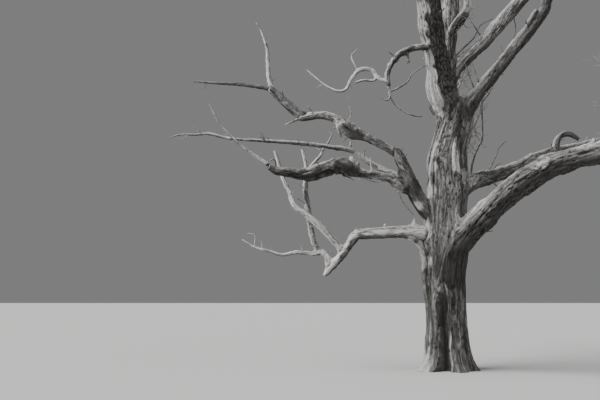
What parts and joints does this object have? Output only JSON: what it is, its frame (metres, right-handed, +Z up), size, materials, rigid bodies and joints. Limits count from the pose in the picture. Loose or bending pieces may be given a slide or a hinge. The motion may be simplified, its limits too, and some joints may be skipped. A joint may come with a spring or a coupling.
{
  "type": "dead tree",
  "caption": "Bare dead hardwood tree with a hollow-footed leaning trunk, rising leaders, long crooked boughs and sparse dead twigs.",
  "frame": {"origin": "middle of the flat ground cut under the trunk", "axes": "+Z up, +X to the right of the tree as the picture shows it, +Y away from the viewer"},
  "size_m": [13.0039, 12.1838, 12.1436],
  "materials": {
    "trunk_wood": "weathered bare wood with flutes, cracks and remnants of bark",
    "silver_wood": "silver-grey weathered wood with long drying cracks and bark remnants",
    "pale_wood": "bleached bare wood, smooth between its cracks",
    "dark_wood": "dark, rough, bark-covered dead wood",
    "twigs": "thin dry grey twigs"
  },
  "bodies": {
    "root": {"trunk": "trunk_wood", "leader_left": "silver_wood", "leader_right_low": "silver_wood", "leader_middle": "silver_wood", "leader_rear": "silver_wood", "crown_left_top": "silver_wood", "crown_left_out": "silver_wood", "crown_left_front": "silver_wood", "crown_rear_top": "silver_wood", "crown_rear_left": "silver_wood", "crown_right_out": "silver_wood", "crown_right_front": "silver_wood", "bough_right_front": "silver_wood", "bough_right_front_end": "silver_wood", "bough_right_front_fork": "silver_wood", "bough_right_rear": "silver_wood", "bough_right_rear_end": "silver_wood", "bough_right_rear_fork": "silver_wood", "stub_arched": "silver_wood", "bough_rear": "silver_wood", "bough_rear_fork": "silver_wood", "bough_left_middle": "silver_wood", "limb_left_grey": "pale_wood", "limb_left_raised": "silver_wood", "limb_left_feeler": "silver_wood", "limb_left_stick": "silver_wood", "limb_left_long": "silver_wood", "leader_right_high": "pale_wood", "crown_right_top": "pale_wood", "crown_right_rear": "pale_wood", "bough_left_low": "pale_wood", "bough_left_drop": "pale_wood", "limb_left_rising": "pale_wood", "limb_left_upturn": "pale_wood", "bough_left_arch": "pale_wood", "limb_left_spire": "pale_wood", "limb_left_hook": "pale_wood", "limb_left_dark": "dark_wood", "limb_left_curl": "dark_wood", "mass_left_top": "twigs", "mass_left_out": "twigs", "mass_left_front": "twigs", "mass_middle": "twigs", "mass_rear_top": "twigs", "mass_rear_left": "twigs", "mass_right_top": "twigs", "mass_right_rear": "twigs", "mass_right_out": "twigs", "mass_right_front": "twigs", "mass_bough_front": "twigs", "mass_bough_fork": "twigs", "mass_bough_right": "twigs", "mass_bough_right_fork": "twigs", "mass_rear_low": "twigs", "mass_rear_high": "twigs", "stub_right_low": "silver_wood", "shoot_right_tall": "silver_wood", "limb_left_grey_fork": "pale_wood", "stub_left_pale": "pale_wood"}
  },
  "joints": []
}
